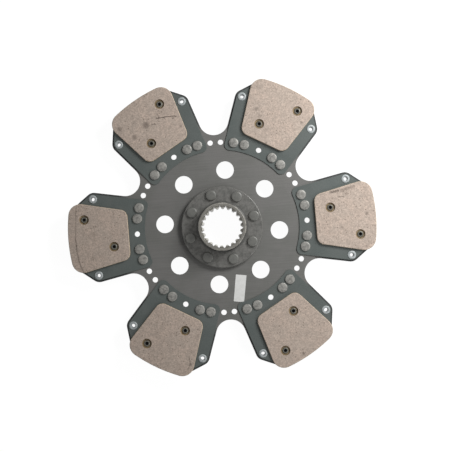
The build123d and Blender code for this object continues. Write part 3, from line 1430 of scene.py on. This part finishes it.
@dataclass
class PadRivets:
    """The semi-tubular rivets, rolled over in the pads' recesses.

    Attributes:
        places: where they stand, out along the arm and across it.
        shank, head, head_height: the radii of shank and head, and the head's height.
        roll, roll_height: the outer radius of the rolled rim, and its height above the recess's floor.
        bore, bore_depth: the radius and the depth of the bore.
        bore_mouth, bore_slack: how far down from the rim, and how far beyond its radius, the bore is
            painted near-black as shade.
        recess_depth, plate: the depth of the pads' recesses and the plates' thickness.
        facets: how finely the round is divided.
        finish, bore_shade: the skins outside and in the bore, the inner one a painted shade.
    """

    places: tuple[tuple[float, float], ...] = ((155.5 * MM, -20.7 * MM), (123.9 * MM, 12.2 * MM))
    shank: float = 2.2 * MM
    head: float = 4.2 * MM
    head_height: float = 0.8 * MM
    roll: float = 3.6 * MM
    roll_height: float = 0.9 * MM
    bore: float = 1.8 * MM
    bore_depth: float = 3 * MM
    bore_mouth: float = 0.3 * MM
    bore_slack: float = 0.05 * MM
    facets: int = 32
    recess_depth: float = 1.8 * MM
    plate: float = 1.2 * MM
    finish: SteelFinish = SteelFinish(
        name="oiled_rivet",
        tone=Tone(98, 97, 90),
        stain=Tone(76, 72, 64),
        blotch=0.003,
        grain_size=0.5 * MM,
        grain_depth=0.02 * MM,
        contrast=0.12,
        metal=0.5,
        roughness=0.42,
    )
    # Near-black painted shade inside the rivets' bores.
    bore_shade: PlainFinish = PlainFinish("sooty_bore", Tone(42, 43, 47), Tone(22, 22, 25))

    def build(self) -> None:
        """Turn one rivet, copy it to every pad on both faces and dress them."""
        floor = stack.pad_face - self.recess_depth
        seat_height = stack.plate_face - self.plate
        rolled = floor + self.roll_height
        profile = [
            (0, seat_height - self.head_height),
            (self.head - 0.25 * MM, seat_height - self.head_height),
            (self.head, seat_height - self.head_height + 0.25 * MM),
            (self.head, seat_height),
            (self.shank, seat_height),
            (self.shank, floor),
            (self.roll - 0.1 * MM, floor),
            (self.roll, floor + 0.3 * MM),
            (self.roll - 0.35 * MM, rolled - 0.2 * MM),
            (self.roll - 0.9 * MM, rolled),
            (self.bore + 0.3 * MM, rolled - 0.1 * MM),
            (self.bore, rolled - 0.5 * MM),
            (self.bore, rolled - self.bore_depth),
            (0, rolled - self.bore_depth - 0.3 * MM),
        ]
        arms = [on_arm(number, side) for side in Side for number in range(ARM_COUNT)]
        places = [arm @ Matrix.Translation((x, y, 0)) for arm in arms for x, y in self.places]
        pattern = turned("pad_rivet_pattern", profile, self.facets)
        rivets = repeated(pattern, places, "rolled_pad_rivets")
        smooth(rivets)
        coat(rivets, self.finish, self.bore_shade)
        reach = rolled - stack.middle - self.bore_mouth
        for face in rivets.data.polygons:
            off_middle = min((face.center.xy - place.translation.xy).length for place in places)
            low_enough = abs(face.center.z - stack.middle) < reach
            face.material_index = int(off_middle < self.bore + self.bore_slack and low_enough)
        seat(rivets, "pad_rivet_steel", "pad_rivets")


class PadSkin(Enum):
    """The skins of a friction pad, in the order of its materials."""

    FACE = 0
    SIDE = 1
    RIM = 2
    RECESS = 3


@dataclass
class FrictionPads:
    """The friction pads: worn rims, recesses over the rivets, chips and the marks of handling.

    Attributes:
        inner_half_width: half the pad's width where its middle line meets the inner edge.
        flare: how far each side leans away from the middle line.
        inner_corner, outer_corner: the corners' radii.
        rivet_places: the rivets, out along the arm and across it.
        recess_radius, recess_depth, hole_radius: of the counterbore over a rivet and its hole.
        worn_rim, recess_rim: how far the pad's rim and a recess's mouth are worn.
        worn_profile: how full the worn rim is, from 0 to 1.
        slack: what may be missing at a radius or a height.
        corner_steps: how finely an inner and an outer corner are divided.
        edge_steps, recess_steps: how finely the outer edge and the recesses are divided.
        seed: starts the draws of the chips.
        chips: how many chips a pad has.
        chip_clear: how far they stay from the rivets.
        chip_lift, chip_radius, chip_shape: what their height, size and form are drawn from.
        upright, level: the heights of a normal that end the sides and begin the face.
        plain_face, raw_side, rim_highlight, brown_recess: the finishes; the sides' brown is partly their
        own colour and partly painted shade, the rim's pale tone is painted highlight, and the recesses are
        darker brown.
        marked_faces: the finish of each front pad's face.
    """

    inner_half_width: float = 27.4 * MM
    flare: float = math.radians(12.7)
    inner_corner: float = 9 * MM
    outer_corner: float = 13.5 * MM
    rivet_places: tuple[tuple[float, float], ...] = PadRivets.places
    recess_radius: float = 5.4 * MM
    recess_depth: float = 1.8 * MM
    hole_radius: float = 2.3 * MM
    worn_rim: float = 0.75 * MM
    recess_rim: float = 0.3 * MM
    worn_profile: float = 0.55
    slack: float = 0.1 * MM
    corner_steps: tuple[int, int] = (12, 16)
    edge_steps: int = 40
    recess_steps: int = 40
    seed: int = 11
    chips: int = 9
    chip_clear: float = 8 * MM
    chip_lift: tuple[float, float] = (0.1, 0.5)
    chip_radius: tuple[float, float] = (0.5, 1.2)
    chip_shape: tuple[tuple[float, float], ...] = ((0.8, 1.7), (0.6, 1.0), (0.5, 0.8))
    upright: float = 0.3
    level: float = 0.98
    plain_face: FrictionFinish = FrictionFinish()
    # The sides' darker brown is partly their own colour and partly painted shade along the pads' edges.
    raw_side: PlainFinish = PlainFinish("friction_side", Tone(150, 130, 108), Tone(118, 104, 88))
    # The rim's pale cream tone paints highlight onto the pads' rounded upper rim.
    rim_highlight: PlainFinish = PlainFinish("friction_rim", Tone(212, 197, 172), Tone(172, 157, 138), 2.4 * MM)
    # The recesses are darker brown than the pads' face.
    brown_recess: PlainFinish = PlainFinish(
        "friction_recess", Tone(142, 124, 96), Tone(104, 90, 68), 1.6 * MM, 0.7
    )
    marked_faces: tuple[FrictionFinish, ...] = ()

    def build(self) -> None:
        """Cut one pad, copy it to every arm on both faces, chip, mark and dress each."""
        low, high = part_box("front_pad_1")
        blank = self._blank(low.x, high.x, low.z, high.z)
        self._cut_recesses(blank, low.z, high.z)
        dice = random.Random(self.seed)
        plain_faces = (self.plain_face,) * ARM_COUNT
        for side, faces in zip(Side, (self.marked_faces, plain_faces)):
            for number, finish in enumerate(faces):
                node = f"{side.value}_pad_{number + 1}"
                pad = copy_to(blank, Matrix.Identity(4), f"{node}_worn")
                self._chip(pad, high.z, dice)
                smooth(pad)
                coat(pad, finish, self.raw_side, self.rim_highlight, self.brown_recess)
                for face in pad.data.polygons:
                    face.material_index = self._skin_of(face, high.z).value
                pad.data.transform(on_arm(number, side))
                seat(pad, "friction", node)
        remove(blank)

    def _skin_of(self, face: bpy.types.MeshPolygon, high: float) -> PadSkin:
        """Which of the pad's skins a face wears.

        Args:
            face: a face of the pad, at the first arm's place.
            high: the height of the pad's friction face.

        Returns:
            The skin.
        """
        middle = face.center
        from_rivet = min((middle.xy - Vector(place)).length for place in self.rivet_places)
        if from_rivet < self.recess_radius and middle.z < high - self.recess_rim / 2:
            return PadSkin.RECESS
        if abs(face.normal.z) < self.upright:
            return PadSkin.SIDE
        if 0 < face.normal.z < self.level and from_rivet > self.recess_radius + self.recess_rim:
            return PadSkin.RIM
        return PadSkin.FACE

    def _blank(self, inner: float, outer: float, low: float, high: float) -> bpy.types.Object:
        """Trace the pad's outline, raise it and wear its upper rim round.

        Args:
            inner, outer: the inner edge's and the outer edge's distances from the axis.
            low, high: the heights of the pad's two faces.

        Returns:
            The pad at the first arm's place, without its recesses.
        """
        lean = math.cos(self.flare), math.sin(self.flare)
        edge = self.inner_half_width * lean[0] - inner * lean[1]
        first_x = inner + self.inner_corner
        first_y = (edge - self.inner_corner + first_x * lean[1]) / lean[0]
        inset = edge - self.outer_corner
        reach = math.sqrt((outer - self.outer_corner) ** 2 - inset**2)
        second = Vector((reach * lean[0] - inset * lean[1], reach * lean[1] + inset * lean[0], low))
        swing = math.atan2(second.y, second.x)
        outwards = Vector((-lean[1], lean[0], 0))
        quarter = math.pi / 2
        inner_chords, outer_chords = self.corner_steps
        tracer = Tracer("pad_pattern", Vector((inner, -first_y, low)))
        tracer.line(Vector((inner, first_y, low)))
        tracer.arc(Vector((first_x, first_y, low)), self.flare - quarter, inner_chords)
        tracer.line(second + outwards * self.outer_corner)
        tracer.arc(second, swing - self.flare - quarter, outer_chords)
        tracer.arc(Vector((0, 0, low)), -2 * swing, self.edge_steps)
        below = Vector((second.x, -second.y, low))
        tracer.arc(below, swing - self.flare - quarter, outer_chords)
        first_below = Vector((first_x, -first_y, low))
        tracer.line(first_below + self.inner_corner * Vector((-lean[1], -lean[0], 0)))
        tracer.arc(first_below, self.flare - quarter, inner_chords)
        blank = tracer.fill()
        raise_sheet(blank, high - low)
        round_edges(
            blank,
            lambda edge: all(vertex.co.z > high - ON_FACE for vertex in edge.verts),
            self.worn_rim,
            segments=3,
            profile=self.worn_profile,
        )
        return blank

    def _cut_recesses(self, blank: bpy.types.Object, low: float, high: float) -> None:
        """Counterbore the pad over each of its rivets, and break the recesses' rims.

        Args:
            blank: the pad.
            low, high: the heights of its two faces.
        """
        floor = high - self.recess_depth
        profile = [
            (0, low - MM),
            (self.hole_radius, low - MM),
            (self.hole_radius, floor),
            (self.recess_radius, floor),
            (self.recess_radius, high + MM),
            (0, high + MM),
        ]
        pattern = turned("recess_pattern", profile, self.recess_steps)
        for x, y in self.rivet_places:
            cutter = copy_to(pattern, Matrix.Translation((x, y, 0)), "recess_cutter")
            apply_modifier(blank, "BOOLEAN", operation="DIFFERENCE", object=cutter, solver="EXACT")
            remove(cutter)
        remove(pattern)
        reach = self.recess_radius + self.slack

        def is_rim(edge: bmesh.types.BMEdge) -> bool:
            """Whether an edge lies on the mouth of a recess."""
            middle = (edge.verts[0].co + edge.verts[1].co) / 2
            near = any((middle.xy - Vector(place)).length < reach for place in self.rivet_places)
            return near and all(vertex.co.z > high - ON_FACE for vertex in edge.verts)

        round_edges(blank, is_rim, self.recess_rim, segments=2)

    def _chip(self, pad: bpy.types.Object, high: float, dice: random.Random) -> None:
        """Break a few small chips out of a pad's upper rim.

        Args:
            pad: the pad, at the first arm's place.
            high: the height of its face.
            dice: what the chips' places and sizes are drawn from.
        """
        rim = []
        for vertex in pad.data.vertices:
            on_rim = high - self.worn_rim < vertex.co.z < high - self.slack
            away = [(vertex.co.xy - Vector(place)).length for place in self.rivet_places]
            if on_rim and min(away) > self.chip_clear:
                rim.append(vertex.co.copy())
        cutters = []
        for _ in range(self.chips):
            deselect_all()
            place = dice.choice(rim) + Vector((0, 0, dice.uniform(*self.chip_lift) * MM))
            radius = dice.uniform(*self.chip_radius) * MM
            bpy.ops.mesh.primitive_ico_sphere_add(subdivisions=2, radius=radius, location=place)
            cutter = bpy.context.object
            cutter.rotation_euler.z = dice.uniform(0, 3)
            cutter.scale = [dice.uniform(*span) for span in self.chip_shape]
            bpy.ops.object.transform_apply(location=True, rotation=True, scale=True)
            cutters.append(cutter)
        for cutter in cutters:
            apply_modifier(pad, "BOOLEAN", operation="DIFFERENCE", object=cutter, solver="EXACT")
            remove(cutter)


@dataclass
class PaperLabel:
    """The small white sticker on the disc, left blank."""

    corners: tuple[tuple[float, float], ...] = (
        (235.9, 274.4),
        (246.5, 275.2),
        (244.1, 302.0),
        (233.7, 301.2),
    )
    thickness: float = 0.09 * MM
    corner_round: float = 0.5 * MM
    finish: PlainFinish = PlainFinish("paper", Tone(216, 216, 214), Tone(208, 208, 205), 4 * MM, 0.75)

    def build(self) -> None:
        """Lay the sticker on the disc's front face."""
        height = stack.disc_top + ON_FACE
        points = [photo.place(*corner, height) for corner in self.corners]
        tracer = Tracer("paper_label", points[0])
        tracer.line(*points[1:], points[0])
        label = tracer.fill()
        raise_sheet(label, self.thickness)
        round_edges(label, self._is_corner, self.corner_round, segments=3)
        smooth(label)
        coat(label, self.finish)
        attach(label, ONLY_BODY)
        log.info("paper_label: on the disc's front face")

    def _is_corner(self, edge: bmesh.types.BMEdge) -> bool:
        """Whether an edge stands upright at a corner of the sticker."""
        low, high = sorted(vertex.co.z for vertex in edge.verts)
        return high - low > self.thickness / 2


@dataclass(frozen=True)
class Lamp:
    """A soft square lamp that looks at the middle of the disc.

    Attributes:
        name: the lamp's name.
        bearing: where it stands, counter-clockwise from the picture's right.
        away: its distance from the axis.
        height: its height above the table.
        size: its side.
        power: its power in watts.
    """

    name: str
    bearing: float
    away: float
    height: float
    size: float
    power: float

    def hang(self) -> None:
        """Hang the lamp and point it at the disc."""
        light = bpy.data.lights.new(self.name, "AREA")
        light.energy = self.power
        light.size = self.size
        lamp = bpy.data.objects.new(self.name, light)
        bpy.context.scene.collection.objects.link(lamp)
        angle = self.bearing - photo.turn
        lamp.location = (self.away * math.cos(angle), self.away * math.sin(angle), self.height)
        aim = Vector((0, 0, stack.disc_top)) - lamp.location
        lamp.rotation_euler = aim.to_track_quat("-Z", "Y").to_euler()
        log.info("%s: %.1f W at %s", self.name, self.power, lamp.location.to_tuple(3))


@dataclass
class Studio:
    """A white table, soft light from the right, and a camera straight above."""

    sensor: float = 36.0
    clip: tuple[float, float] = (0.05, 50.0)
    table_size: float = 12.0
    table_gap: float = 0.1 * MM
    table_near: float = 0.965
    table_shine_from: float = 0.3
    table_shine_to: float = 1.1
    table_albedo: float = 0.12
    table_grey: float = 0.8
    ambient: float = 0.15
    lamps: tuple[Lamp, ...] = (
        Lamp("key_lamp", math.radians(39.6), 0.48, 0.4, 0.26, 4.2),
        Lamp("side_lamp", math.radians(-34), 0.5, 0.4, 0.2, 0.9),
    )

    def build(self) -> None:
        """Set up table, world, lamps and camera."""
        bpy.context.scene.view_settings.view_transform = "Standard"
        self._table()
        self._world()
        for lamp in self.lamps:
            lamp.hang()
        self._camera()

    def _table(self) -> None:
        """Lay the table, which keeps a faint shadow of the disc."""
        deselect_all()
        bpy.ops.mesh.primitive_plane_add(size=self.table_size, location=(0, 0, -self.table_gap))
        table = bpy.context.object
        table.name = "table"
        bench = Bench("table_white")
        bench.tree.nodes.remove(bench.shader)
        radius, _ = bench.around_axis()
        glow = bench.spread(radius, self.table_shine_from, self.table_shine_to, self.table_near, 1.0)
        emission = bench.add("ShaderNodeEmission")
        bench.feed(emission.inputs["Strength"], glow)
        seen = bench.add("ShaderNodeAddShader")
        bench.link(emission.outputs[0], seen.inputs[0])
        bench.link(bench.diffuse(self.table_albedo), seen.inputs[1])
        bench.link(bench.background(bench.diffuse(self.table_grey), seen.outputs[0]), bench.surface)
        table.data.materials.append(bench.material)

    def _world(self) -> None:
        """A soft grey room that shows as white behind the disc."""
        world = bpy.data.worlds.new("room")
        bpy.context.scene.world = world
        world.use_nodes = True
        room = Nodes(world.node_tree)
        output = room.add("ShaderNodeOutputWorld")
        looks = []
        for strength in (self.ambient, 1.0):
            look = room.add("ShaderNodeBackground")
            room.feed(look.inputs["Color"], (1, 1, 1, 1))
            room.feed(look.inputs["Strength"], strength)
            looks.append(look.outputs[0])
        room.link(room.background(*looks), output.inputs["Surface"])

    def _camera(self) -> None:
        """Put the camera above the disc, framed as the photograph is."""
        data = bpy.data.cameras.new("camera")
        camera = bpy.data.objects.new("camera", data)
        bpy.context.scene.collection.objects.link(camera)
        data.sensor_width = self.sensor
        data.lens = self.sensor * photo.distance / (photo.size * photo.pixel)
        data.clip_start, data.clip_end = self.clip
        aim = photo.place(photo.size / 2, photo.size / 2, stack.disc_top)
        turn = Matrix.Rotation(-photo.turn, 4, "Z") @ Matrix.Rotation(photo.lean, 4, "X")
        camera.matrix_world = Matrix.Translation(aim) @ turn @ Matrix.Translation((0, 0, photo.distance))
        bpy.context.scene.camera = camera
        log.info("camera: lens %.2f mm at %s", data.lens, camera.matrix_world.translation.to_tuple(4))


MARKS_OF_HANDLING: tuple[tuple[tuple[Scratch, ...], tuple[Smudge, ...]], ...] = (
    (
        (
            Scratch(((133.4, 23.3), (139.8, 23.3)), 0.9 * MM, 0.55),
            Scratch(((126.6, 29.2), (134.5, 30.2)), 1.8 * MM, 0.75),
            Scratch(((138.5, 30.6), (152.0, 33.6)), 2.4 * MM, 0.42),
        ),
        (
            Smudge((143.6, 26.2), 3.0 * MM, 0.3),
            Smudge((164.4, 1.8), 2.6 * MM, 0.45),
            Smudge((153.0, 11.0), 1.5 * MM, 0.5),
            Smudge((161.0, -35.2), 2.4 * MM, 0.35),
            Smudge((135.6, -11.5), 2.2 * MM, 0.3),
        ),
    ),
    (
        (),
        (
            Smudge((132.1, 15.1), 3.2 * MM, 0.3),
            Smudge((138.0, 22.1), 3.0 * MM, 0.35),
            Smudge((145.9, -30.4), 2.0 * MM, 0.45),
            Smudge((107.3, -4.2), 1.8 * MM, 0.6),
        ),
    ),
    (
        (
            Scratch(
                ((144.0, -8.8), (140.6, -15.6), (138.9, -19.4), (134.6, -27.0), (133.2, -28.7)),
                0.8 * MM,
                0.85,
            ),
            Scratch(((141.9, -10.8), (147.0, -12.7)), 0.6 * MM, 0.6),
            Scratch(((140.2, -16.2), (136.7, -16.5)), 0.5 * MM, 0.5),
            Scratch(((141.5, -0.4), (139.0, -4.1)), 0.7 * MM, 0.7),
        ),
        (
            Smudge((133.7, -24.2), 1.7 * MM, 0.6),
            Smudge((144.2, 5.3), 5.6 * MM, 0.55),
            Smudge((157.6, 32.6), 4.0 * MM, 0.5),
            Smudge((140.4, 23.6), 4.2 * MM, 0.45),
            Smudge((120.8, -26.8), 2.4 * MM, 0.4),
        ),
    ),
    (
        (
            Scratch(((160.6, 38.6), (164.4, 26.3), (166.0, 15.2), (166.6, 0.8)), 1.1 * MM, 0.55),
            Scratch(((166.6, 0.8), (165.6, -13.5), (164.3, -29.0), (162.2, -37.9)), 0.9 * MM, 0.35),
        ),
        (
            Smudge((145.6, -3.6), 4.0 * MM, 0.2),
            Smudge((166.4, 7.6), 1.6 * MM, 0.5),
        ),
    ),
    (
        (
            Scratch(((117.0, 23.7), (116.1, 27.0)), 0.7 * MM, 0.6),
            Scratch(((148.7, 28.9), (155.3, 33.6), (161.6, 33.5)), 1.0 * MM, 0.45),
        ),
        (
            Smudge((122.9, 27.3), 2.4 * MM, 0.35),
            Smudge((155.3, 34.0), 2.4 * MM, 0.4),
        ),
    ),
    (
        (),
        (Smudge((169.6, -5.7), 2.4 * MM, 0.4),),
    ),
)


def marked_faces() -> tuple[FrictionFinish, ...]:
    """The finish of each front pad's face, with its own marks of handling."""
    return tuple(
        FrictionFinish(name=f"friction_face_{arm + 1}", scratches=scratches, smudges=smudges, arm=arm)
        for arm, (scratches, smudges) in enumerate(MARKS_OF_HANDLING)
    )


def main() -> None:
    """Build the disc's pieces in the order in which they are put together, then the studio."""
    logging.basicConfig(level=logging.INFO, format="%(name)s %(message)s")
    deselect_all()
    MainDisc().build()
    CarrierPlates().build()
    Hub().build()
    HubRivets().build()
    RootRivets().build()
    Eyelets().build()
    PadRivets().build()
    FrictionPads(marked_faces=marked_faces()).build()
    PaperLabel().build()
    Studio().build()


if __name__ == "__main__":
    main()
